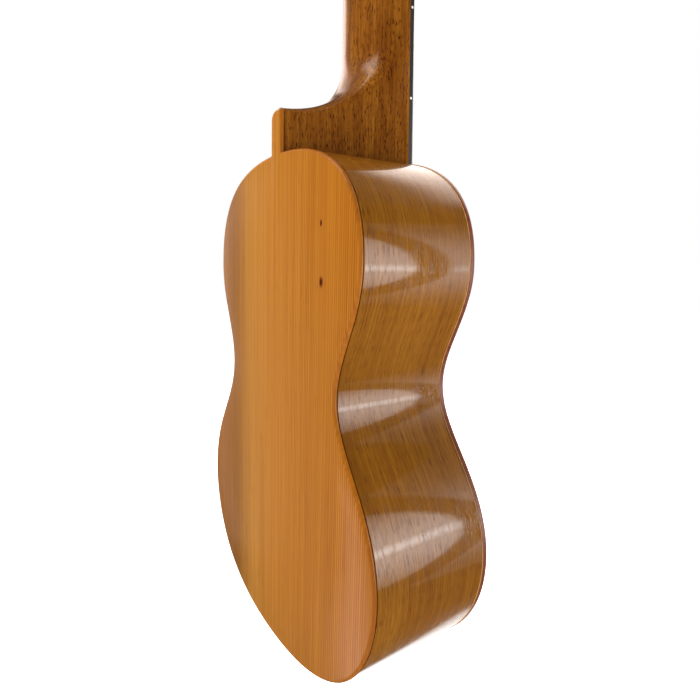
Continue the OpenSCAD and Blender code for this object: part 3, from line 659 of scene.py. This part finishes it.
def closedSections(x, y, z, floor):
    # half sections mirrored into loops and closed along the floor line in front
    y = np.maximum(y, floor(z))
    loopX = np.concatenate([x, -x[:, -2::-1]], 1)
    loopY = np.concatenate([y, y[:, -2::-1]], 1)
    loopZ = np.concatenate([z, z[:, -2::-1]], 1)
    rows = np.stack([loopX, loopY, loopZ], -1)
    shape = rows.reshape(-1, 3), gridFaces(len(rows), rows.shape[1], closeCols=True), None
    return joined(shape, *endCaps(rows))


def spliceDepth(z):
    # depth of the splice plane, which leans back from the nut's far side until it leaves the neck
    depth = np.maximum((neck["nutThickness"] - z) * math.tan(math.radians(neck["spliceAngle"])), 0)
    return np.where(depth > neck["depth"] + 1, neck["heelDepth"], depth)


def makeNeck():
    x, y, z = neckSections()
    shape = closedSections(x, np.minimum(y, spliceDepth(z)), z, lambda h: np.zeros_like(h))
    makePiece("neck_and_heel", shape, mahogany, "root", ("neck",), 38)


makeNeck()
print("neck made")

head = {
    "angle": 14.0, "length": 152.0, "width": 74.0, "thickness": 15.0, "veneer": 1.5,
    "postX": 24.0, "firstPost": 27.0, "postPitch": 24.5, "edge": 1.4,
}
tuners = range(1, 11)


def onHead(points):
    # from the headstock's own frame to the model's: turned back by the head angle about the nut
    a = math.radians(head["angle"])
    x, y, z = np.moveaxis(np.asarray(points, float), -1, 0)
    return np.stack([x, y * math.cos(a) + z * math.sin(a),
                     neck["nutThickness"] + z * math.cos(a) - y * math.sin(a)], -1)


def sideOf(i):
    # tuners 1 to 5 are on the left, 6 to 10 on the right
    return -1 if i <= 5 else 1


def postPlace(i):
    return sideOf(i) * head["postX"], head["firstPost"] + (i - 1) % 5 * head["postPitch"]


def atPost(shape, i, y=0.0, z=0.0):
    points, faces, uv = shape
    x0, z0 = postPlace(i)
    return onHead(points + [x0, y, z0 + z]), faces, uv


def headLoop():
    # shoulders, straight sides and a low crest, mirrored about the centre line
    n, w, top = neck["nutHalf"], head["width"] / 2, head["length"]
    t = np.linspace(0, 1, 24)
    right = np.concatenate([
        bezier([(n, 0), (n + 1, 9), (w, 6), (w, 18)], t),
        bezier([(w - 1.5, top - 16), (w - 1.5, top - 5), (w - 10, top - 3), (w - 18, top - 6)], t),
        bezier([(w - 18, top - 6), (w - 25, top - 8.6), (8, top), (0, top)], t)[1:],
    ])
    right = evenly(right, 150)
    return np.concatenate([right, (right * [-1, 1])[-2::-1]])


def makeHeadstock():
    h = head
    points, faces, uv = slab(headLoop(), h["veneer"], h["thickness"], h["edge"])
    x, y, z = neckSections()
    near = z[:, 0] > neck["nutThickness"] - neck["depth"] / math.tan(math.radians(h["angle"]))
    # on the splice plane the section is only as wide as the neck's curve is at that depth
    deep = np.clip(spliceDepth(z[near]) / neck["depth"], 0, 1) ** neck["power"]
    wide = halfWidth(z[near]) * (1 - deep) ** (1 / neck["power"])
    shaft = closedSections(np.minimum(x[near], wide), y[near], z[near], spliceDepth)
    shape = joined((onHead(points), faces, uv), shaft)
    makePiece("headstock_blank", shape, mahogany, "root", ("headstock",), 38)
    points, faces, uv = slab(headLoop(), 0.0, h["veneer"], 0.5)
    makePiece("headstock_overlay", (onHead(points), faces, uv), ebony, "root", ("headstock_veneer",))


makeHeadstock()
print("headstock made")

tuner = {
    "plateBack": 16.0, "wormY": 18.9, "teeth": 14, "pitch": 2.1, "wormR": 2.2, "postR": 3.0,
    "postFront": 13.0, "shaftR": 1.5, "toothOut": 0.55, "toothIn": 0.8, "gearHalf": 1.3,
    "windY": (-7.0, -3.0), "stringR": 0.35, "inner": 6.95, "outer": 17.0,
    "button": (15.0, 8.0, 17.0),  # along the shaft, thickness, width
    "plateBelow": 9, "plateAbove": 12, "screwInset": 3,  # plate past the first worm and last post
}
gearR = tuner["teeth"] * tuner["pitch"] / (2 * math.pi)
centreDist = gearR + tuner["wormR"]


def turnedShape(profile, count=40):
    # profile of (radius, depth) turned about the Y axis; a closed profile makes a ring
    profile = np.array(profile, float)
    a = np.linspace(0, 2 * math.pi, count, endpoint=False)
    r, y = profile[:, 0][:, None], profile[:, 1][:, None]
    points = np.stack([r * np.cos(a), y * np.ones_like(a), r * np.sin(a)], -1).reshape(-1, 3)
    return points, gridFaces(len(profile), count, closeCols=True), None


def gearShape():
    # gear about Y: radius is the root circle plus a rounded tooth, one tooth facing the worm
    g = tuner
    a = np.linspace(0, 2 * math.pi, g["teeth"] * 12, endpoint=False)
    wave = np.cos(g["teeth"] * a)  # a is measured from the worm's side
    tooth = np.clip(0.5 + 0.95 * wave, 0, 1)
    outer = gearR - g["toothIn"] + (g["toothIn"] + g["toothOut"] - 0.05) * tooth
    y0, y1 = g["wormY"] - g["gearHalf"], g["wormY"] + g["gearHalf"]
    bevel = 0.2
    rings = [(0.0, y0), (0.7, y0), (0.97, y0), (1.0, y0 + bevel),
             (1.0, y1 - bevel), (0.97, y1), (0.7, y1), (0.0, y1)]
    points = np.concatenate([
        np.column_stack([f * outer * np.sin(a), np.full(len(a), y), -f * outer * np.cos(a)]) for f, y in rings
    ])
    return points, gridFaces(len(rings), len(a), closeCols=True), None


def postShape():
    # string post: domed cap, waist that holds the string, shaft, and a riveted end on the gear
    r, front, back = tuner["postR"], -tuner["postFront"], tuner["wormY"] + tuner["gearHalf"]
    low, high = tuner["windY"]
    profile = [
        (0, front), (r * 0.55, front + 0.08), (r * 0.85, front + 0.35), (r, front + 0.9),
        (r, low - 1.4), (r - 0.25, low - 0.7), (r - 0.3, low), (r - 0.3, high), (r - 0.25, high + 0.5),
        (r, high + 1.0), (r, tuner["plateBack"] + 0.3), (r - 0.6, tuner["plateBack"] + 0.3),
        (r - 0.6, back), (1.9, back), (1.7, back + 0.7), (1.2, back + 0.95), (0, back + 1.0),
    ]
    return joined(turnedShape(profile), gearShape())


def windingShape(side):
    # string wound on a post: helix of tube circles, r = post + string radius, 4.5 turns
    t = tuner
    turns, sides = 4.5, 8
    s = np.linspace(0, 1, 150)
    a = side * (2 * math.pi * turns * s)
    r = t["postR"] - 0.3 + t["stringR"]
    low, high = t["windY"]
    path = np.column_stack([r * np.cos(a), low + 0.4 + (high - low - 0.8) * s, r * np.sin(a)])
    return tubeShape(path, t["stringR"], sides)


def tubeShape(path, radius, sides=10):
    # round tube along a path: circles across the path's own direction, ends closed
    step = np.gradient(path, axis=0)
    step /= np.linalg.norm(step, axis=1)[:, None]
    across = np.cross(step, [0.13, 0.37, 0.92])
    across /= np.linalg.norm(across, axis=1)[:, None]
    other = np.cross(step, across)
    a = np.linspace(0, 2 * math.pi, sides, endpoint=False)
    rows = path[:, None] + radius * (np.cos(a)[None, :, None] * across[:, None]
                                     + np.sin(a)[None, :, None] * other[:, None])
    run = np.concatenate([[0], np.cumsum(np.linalg.norm(np.diff(path, axis=0), axis=1))])
    uv = np.stack(np.broadcast_arrays(run[:, None], a[None]), -1)
    return joined((rows.reshape(-1, 3), gridFaces(len(path), sides, closeCols=True), uv.reshape(-1, 2)),
                  *endCaps(rows, uv))


def wormShape(side):
    # Worm and shaft along X: radius = shaft + thread, where the thread's crest is at whole
    # numbers of x/pitch - angle/2pi + 1/2, and the thread dies away at both ends.
    t = tuner
    low, high = (-t["outer"], t["inner"]) if side < 0 else (-t["inner"], t["outer"])
    x = np.concatenate([[low, low + 0.2], np.linspace(-3.6, 3.6, 90), [high - 0.2, high]])[:, None]
    a = np.linspace(0, 2 * math.pi, 36, endpoint=False)[None]
    phase = x / t["pitch"] - a / (2 * math.pi) + 0.5
    off = np.abs(phase - np.round(phase)) * t["pitch"]
    tooth = np.clip((0.5 - off) / 0.25, 0, 1) * np.clip((3.2 - np.abs(x)) / 0.6, 0, 1)
    r = t["shaftR"] + (t["wormR"] + t["toothOut"] - t["shaftR"]) * tooth
    r = np.where((x <= low) | (x >= high), t["shaftR"] - 0.2, r)
    rows = np.stack([x * np.ones_like(a), r * np.sin(a), r * np.cos(a)], -1)
    return joined((rows.reshape(-1, 3), gridFaces(len(rows), 36, closeCols=True), None), *endCaps(rows))


def buttonShape(side):
    # pearloid button: superellipse |x/l|^2.5 + |z/w|^2.5 = 1 with a shallow waist, edges well rounded
    length, thick, width = tuner["button"]
    a = np.linspace(0, 2 * math.pi, 72, endpoint=False)
    power = 2 / 2.5
    loop = np.column_stack([
        length / 2 * np.sign(np.cos(a)) * np.abs(np.cos(a)) ** power,
        width / 2 * np.sign(np.sin(a)) * np.abs(np.sin(a)) ** power,
    ])
    loop[:, 0] *= 1 - 0.08 * np.exp(-(loop[:, 1] / 4) ** 2)
    start = head["width"] / 2 - head["postX"] + 4
    points, faces, uv = slab(loop, -thick / 2, thick / 2, 3.2, rings=8)
    return points + [side * (start + length / 2), 0, 0], faces, uv


def screwShape():
    # slotted dome head: depth = R-dome minus a slot where |x| < 0.3 mm
    radius, dome, slot = 2.1, 0.9, 0.45
    r, a = np.linspace(0, 1, 22)[:, None], np.linspace(0, 2 * math.pi, 56, endpoint=False)[None]
    x, z = r * radius * np.cos(a), r * radius * np.sin(a)
    y = dome * (0.35 + 0.65 * np.sqrt(1 - 0.98 * r ** 2)) - slot * (np.abs(x) < 0.3) * (r < 0.98)
    foot = np.stack([x[-1:], np.zeros_like(y[-1:]), z[-1:]], -1)
    rows = np.concatenate([np.stack([x, y, z], -1), foot, foot * 0])
    return rows.reshape(-1, 3), gridFaces(len(rows), 56, closeCols=True), None


def makeTuners():
    for i in tuners:
        side = sideOf(i)
        makePiece(f"string_post_{i}", atPost(postShape(), i), brass, f"peg_{i}",
                  (f"post_{i}",), 40)
        makePiece(f"string_winding_{i}", atPost(windingShape(side), i), nylon, f"peg_{i}")
        worm = atPost(wormShape(side), i, tuner["wormY"], -centreDist)
        makePiece(f"worm_shaft_{i}", worm, brass, f"key_{i}", (f"worm_{i}",), 40)
        button = atPost(buttonShape(side), i, tuner["wormY"], -centreDist)
        makePiece(f"tuner_button_{i}", button, pearloid, f"key_{i}", (f"button_{i}",), 60)
    ring = [(3.08, 0.4), (3.08, -0.8), (3.4, -1.0), (4.9, -0.95),
            (5.35, -0.5), (5.4, 0.0), (4.1, 0.4), (3.08, 0.4)]
    bushings = [atPost(turnedShape(ring), i) for i in tuners]
    makePiece("post_collars", joined(*bushings), brass, "root", ("post_bushings",), 40)
    low = head["firstPost"] - centreDist - tuner["plateBelow"]
    high = head["firstPost"] + 4 * head["postPitch"] + tuner["plateAbove"]
    between = [head["firstPost"] + (k - 0.5) * head["postPitch"] for k in range(1, 5)]
    heights = [low + tuner["screwInset"], *between, high - tuner["screwInset"]]
    points, faces, uv = screwShape()
    screws = [(onHead(points + [side * head["postX"], tuner["plateBack"], z]), faces, uv)
              for side in (-1, 1) for z in heights]
    makePiece("plate_screws", joined(*screws), brass, "root", ("tuner_plate_screws",), 30)


makeTuners()
print("tuners made")

scale = 370.0
board = -corners("fretboard")[0][1]  # thickness of the fretboard
fret = {"count": 17, "width": 2.0, "height": 0.8, "tang": (0.6, 1.6), "inset": 0.9, "bevel": 0.7}


def fretZ(n):
    # each fret shortens the string by the twelfth root of two
    return -scale * (1 - 2 ** (-n / 12))


def fretShape(n):
    # crown: half ellipse above the board, carried across it, lowered over the bevel at each end
    f = fret
    a = np.linspace(0, math.pi, 13)
    w, d = f["tang"]
    z = np.concatenate([f["width"] / 2 * np.cos(a), [-w / 2, -w / 2, w / 2, w / 2]])
    y = np.concatenate([f["height"] * np.sin(a), [0, -d, -d, 0]])
    half = halfWidth(fretZ(n)) - f["inset"]
    x = np.array([-half, -half + f["bevel"], half - f["bevel"], half])
    crown = np.array([0.15, 1, 1, 0.15])[:, None] * np.clip(y, 0, None) + np.clip(y, None, 0)
    rows = np.stack([np.repeat(x[:, None], len(z), 1), -board - crown,
                     np.repeat((fretZ(n) + z)[None], 4, 0)], -1)
    return joined((rows.reshape(-1, 3), gridFaces(4, len(z), closeCols=True), None), *endCaps(rows))


frets = joined(*(fretShape(n) for n in range(1, fret["count"] + 1)))
makePiece("fret_wires", frets, nickel, "root", ("frets",), 40)

bridge = {
    "width": 112.0, "length": 24.0, "height": -corners("bridge")[0][1], "wing": 3.0, "block": 30.0,
    "tie": 7.0, "saddle": 2.6, "holeR": 0.8, "ease": 0.8,
}
saddleZ = -scale - 2
bridgeLow = saddleZ - bridge["length"] * 0.75


def bridgeShape():
    # Height over the soundboard at (x, z): wings that thin towards their ends, a block for the
    # saddle and one for the ties with a trough between, every edge eased along a parabola.
    b = bridge
    x = np.unique(np.concatenate([np.linspace(-b["width"] / 2, b["width"] / 2, 141),
                                  [s * (b["block"] + d) for s in (-1, 1) for d in (0, 0.01)]]))[:, None]
    tieTop, trough = b["tie"], b["length"] * 0.75 - b["saddle"] * 1.5
    ease = np.linspace(0, 1, 7)
    z = np.unique(np.round(np.concatenate([
        ease, tieTop - ease, [tieTop + 0.01], trough + np.append(ease, -0.01), b["length"] - ease,
        np.linspace(1, b["length"] - 1, 30)]), 3))[None]

    rim = np.minimum(z, b["length"] - z)
    end = b["width"] / 2 - np.abs(x)
    wing = b["wing"] * (0.62 + 0.38 * np.clip(end / 24, 0, 1)) - (1 - np.clip(rim, 0, 1)) ** 2
    wing = wing - b["ease"] * (1 - np.clip(end, 0, 1)) ** 2
    inBlock = np.abs(x) <= b["block"]
    inTie, inSaddle = z <= tieTop, z >= trough
    near = np.where(inTie, np.minimum(z, tieTop - z), np.minimum(z - trough, b["length"] - z))
    near = np.minimum(near, b["block"] - np.abs(x))
    block = b["height"] - b["ease"] * (1 - np.clip(near / b["ease"], 0, 1)) ** 2
    top = np.where(inBlock & (inTie | inSaddle), block, wing)
    face = np.stack(np.broadcast_arrays(x, -top, bridgeLow + z), -1)
    base = face * [1, 0, 1] - [0, 0.02, 0]
    rows = np.concatenate([face, base[:, ::-1]], 1)
    return joined((rows.reshape(-1, 3), gridFaces(len(rows), rows.shape[1], closeCols=True), None),
                  *endCaps(rows))


makePiece("tie_bridge", bridgeShape(), ebony, "root", ("bridge",), 40)

strings = {"nutPitch": 8.8, "saddlePitch": 11.4, "gap": 2.4}


def stringPlaces():
    # X at the nut, X at the saddle and post of each of the ten strings, from left to right
    places = []
    for n in range(10):
        course, half = n // 2 - 2, (-0.5, 0.5)[n % 2] * strings["gap"]
        places.append((course * strings["nutPitch"] + half, course * strings["saddlePitch"] + half,
                       n + 1 if n < 5 else 15 - n))
    return places


def stringPath(nutX, saddleX, post):
    # loop over the tie block, through it, over the saddle and the nut, and on to the post
    b = bridge
    saddleY = corners("saddle")[0][1] - tuner["stringR"]
    nutY = -(board + fret["height"] + 0.4)
    low, tieEnd = bridgeLow, bridgeLow + b["tie"]
    holeY, over = -(b["wing"] + b["holeR"]), -(b["height"] + tuner["stringR"] + 0.05)
    x0, z0 = postPlace(post)
    side = math.copysign(tuner["postR"] + tuner["stringR"], x0)
    end = onHead([x0 - side, sum(tuner["windY"]) / 2, z0])
    knots = np.array([
        [saddleX + 0.9, holeY - 0.3, tieEnd + 0.8], [saddleX + 0.9, over, tieEnd - 0.4],
        [saddleX + 0.5, over, low + 0.6], [saddleX, over + 1.2, low - 0.6], [saddleX, holeY, low - 0.2],
        [saddleX, holeY, tieEnd + 0.5], [saddleX, saddleY, saddleZ], [nutX, nutY, neck["nutThickness"] / 2],
        end,
    ])
    return easedCorners(knots)


def easedCorners(knots):
    # straight runs between knots, with each corner eased over a tenth of a millimetre
    ease = 0.1
    ahead = np.diff(knots, axis=0)
    ahead /= np.linalg.norm(ahead, axis=1)[:, None]
    before, after = knots[1:-1] - ease * ahead[:-1], knots[1:-1] + ease * ahead[1:]
    bends = np.stack([before, knots[1:-1] * 0.5 + (before + after) * 0.25, after], 1).reshape(-1, 3)
    return np.concatenate([knots[:1], bends, knots[-1:]])


def makeStrings():
    shapes = [tubeShape(stringPath(*place), tuner["stringR"]) for place in stringPlaces()]
    for course in range(5):
        pair = joined(shapes[2 * course], shapes[2 * course + 1])
        makePiece(f"string_pair_{course + 1}", pair, nylon, "root",
                  (f"course_{course + 1}",), 60)


makeStrings()
print("frets, bridge and strings made")


def addSoftbox(name, azimuth, elevation, width, height, power, distance=1.5, colour="ffffff",
               mirrored=True):
    # flat light aimed at the body; azimuth 0 is in front, negative towards the left rib
    right, up, back = lookingFrom(azimuth, elevation)
    data = bpy.data.lights.new(name, "AREA")
    data.shape = "RECTANGLE"
    data.size, data.size_y = width, height
    data.energy = power
    data.color = tone(colour)[:3]
    lamp = bpy.data.objects.new(name, data)
    lamp.visible_camera = False
    lamp.visible_glossy = mirrored
    bpy.context.scene.collection.objects.link(lamp)
    place = np.array([0, 0.03, (tailZ + 150) * mm]) + distance * back
    lamp.matrix_world = placed(right, up, back, place)
    return data, right, up, place


def lightPlane(lamp):
    # metres from the middle of a softbox, along its width and up its height
    data, right, up, place = lamp
    data.use_nodes = True
    tree = data.node_tree
    spot = addNode(tree, "ShaderNodeNewGeometry").outputs["Position"]
    local = addNode(tree, "ShaderNodeVectorMath", {0: spot, 1: tuple(place)}, operation="SUBTRACT").outputs[0]
    x, y = (addNode(tree, "ShaderNodeVectorMath", {0: local, 1: tuple(axis)}, operation="DOT_PRODUCT")
            .outputs["Value"] for axis in (right, up))
    return tree, x, y


def fadeEdges(lamp, margin=0.5):
    # diffusion cloth: strength falls to nothing over the outer part of each half
    data = lamp[0]
    tree, x, y = lightPlane(lamp)
    parts = []
    for along, half in ((x, data.size / 2), (y, data.size_y / 2)):
        off = addNode(tree, "ShaderNodeMath", {0: along}, operation="ABSOLUTE").outputs[0]
        parts.append(addNode(tree, "ShaderNodeMapRange", {
            "Value": off, "From Min": half * (1 - margin), "From Max": half, "To Min": 1.0, "To Max": 0.0,
        }, interpolation_type="SMOOTHSTEP").outputs["Result"])
    strength = addNode(tree, "ShaderNodeMath", {0: parts[0], 1: parts[1]}, operation="MULTIPLY").outputs[0]
    tree.links.new(strength, tree.nodes["Emission"].inputs["Strength"])


def addRoundWindow(lamp, middle, half, core):
    # Gives a softbox a bright oval face, a dark rim and a dim wall beyond it. From the oval's
    # middle r = |(x/halfWidth, y/halfHeight)|; the face is r < 1 and the rim 1 < r < 1.38. A
    # bright line runs across at mid height, and the wall fades upwards and downwards.
    tree, x, y = lightPlane(lamp)
    fromMiddle = addNode(tree, "ShaderNodeMath", {0: x, 1: middle}, operation="SUBTRACT").outputs[0]
    flat = addNode(tree, "ShaderNodeCombineXYZ", {"X": fromMiddle, "Y": y}).outputs[0]
    oval = addNode(tree, "ShaderNodeVectorMath", {0: flat, 1: (1 / half[0], 1 / half[1], 0)},
                   operation="MULTIPLY").outputs[0]
    away = addNode(tree, "ShaderNodeVectorMath", {0: oval}, operation="LENGTH").outputs["Value"]
    third = addNode(tree, "ShaderNodeMath", {0: away, 1: 1 / 3}, operation="MULTIPLY").outputs[0]
    face = addRamp(tree, third, [(0.0, "ffffff"), (0.315, "f0f0f0"), (0.335, "101010"), (0.45, "101010"),
                                 (0.475, "b8b8b8"), (0.7, "9c9c9c"), (1.0, "606060")])
    height = addNode(tree, "ShaderNodeMath", {0: y}, operation="ABSOLUTE").outputs[0]
    line = addNode(tree, "ShaderNodeMapRange", {
        "Value": height, "From Min": 0.0, "From Max": core, "To Min": 1.7, "To Max": 0.85,
    }, interpolation_type="SMOOTHSTEP").outputs["Result"]
    fade = addNode(tree, "ShaderNodeMapRange", {
        "Value": height, "From Min": core, "From Max": half[1] * 1.2, "To Min": 1.0, "To Max": 0.15,
    }, interpolation_type="SMOOTHSTEP").outputs["Result"]
    glow = addNode(tree, "ShaderNodeMath", {0: line, 1: fade}, operation="MULTIPLY").outputs[0]
    strength = addNode(tree, "ShaderNodeMath", {0: glow, 1: face}, operation="MULTIPLY").outputs[0]
    tree.links.new(strength, tree.nodes["Emission"].inputs["Strength"])


def makeStudio():
    world = bpy.data.worlds.new("studio")
    bpy.context.scene.world = world
    world.use_nodes = True
    tree = world.node_tree
    tree.nodes.clear()
    sight = addNode(tree, "ShaderNodeLightPath").outputs["Is Camera Ray"]
    seen = addNode(tree, "ShaderNodeBackground", {"Color": (1, 1, 1, 1), "Strength": 1.0})
    gloss = addNode(tree, "ShaderNodeLightPath").outputs["Is Glossy Ray"]
    fill = addNode(tree, "ShaderNodeBackground", {"Color": (1, 1, 1, 1), "Strength": 0.34})
    dim = addNode(tree, "ShaderNodeBackground", {"Color": (1, 1, 1, 1), "Strength": 0.03})
    room = addNode(tree, "ShaderNodeMixShader", {0: gloss, 1: fill.outputs[0], 2: dim.outputs[0]})
    mix = addNode(tree, "ShaderNodeMixShader", {0: sight, 1: room.outputs[0], 2: seen.outputs[0]})
    addNode(tree, "ShaderNodeOutputWorld", {"Surface": mix.outputs[0]})
    # softbox in front of the left rib, with a wall behind its dark rim
    window = addSoftbox("rib_window", -47, 0, 0.92, 1.74, 30)
    addRoundWindow(window, -0.36, (0.263, 0.7), 0.12)
    # white walls round the front: beside, above and below, and one behind the neck's far edge
    fadeEdges(addSoftbox("front_wall", 54, -6, 1.2, 2.2, 15, colour="fff2ea"))
    fadeEdges(addSoftbox("front_top", 18, 38, 2.0, 1.0, 17, colour="fff0e6"))
    fadeEdges(addSoftbox("front_low", 28, -50, 1.3, 0.6, 4))
    fadeEdges(addSoftbox("rim_wall", 84, 12, 0.9, 1.9, 13, colour="ffeadf"))
    fadeEdges(addSoftbox("overhead", 146, 60, 1.2, 1.0, 9, colour="fff6ea"))
    addSoftbox("overhead_glow", 146, 58, 1.2, 1.0, 22, colour="fff6ea", mirrored=False)
    addSoftbox("back_fill", 107, -8, 0.4, 1.4, 1.0, colour="ffe4d4")
    fadeEdges(addSoftbox("edge_kick", 138, -36, 0.3, 1.0, 4.5, colour="ffd8cc"), 0.3)
    addSoftbox("side_fill", 268, -10, 1.0, 0.5, 3.5, mirrored=False)
    floor = bpy.data.meshes.new("floor")
    reach, drop = 6.0, (tailZ - 260) * mm
    floor.from_pydata([(-reach, -reach, drop), (reach, -reach, drop), (reach, reach, drop),
                       (-reach, reach, drop)], [], [(0, 1, 2, 3)])
    paper, _, surface = newMaterial("paper_floor_matt", Roughness=0.9)
    surface.inputs["Base Color"].default_value = tone("f4f4f4")
    surface.inputs["Emission Color"].default_value = (1, 1, 1, 1)
    surface.inputs["Emission Strength"].default_value = 1.0
    floor.materials.append(paper)
    sheet = bpy.data.objects.new("floor", floor)
    bpy.context.scene.collection.objects.link(sheet)
    sheet.visible_glossy = False  # the lacquer mirrors the dim room, as in a tented studio


makeStudio()
print("studio lit")

# CAD nodes whose shape is right as it is, and the finish that each takes
keptFinishes = {
    bareWood: ["neck_block", "tail_block", "top_linings", "back_linings", "top_braces",
               "back_braces", "bridge_plate"],
    rosetteWood: ["rosette"],
    ebony: ["fretboard"],
    bone: ["saddle", "nut"],
    pearl: ["position_dots"],
    brass: ["left_tuner_plate", "right_tuner_plate"],
}
for material, names in keptFinishes.items():
    for name in names:
        keepNode(name, material)
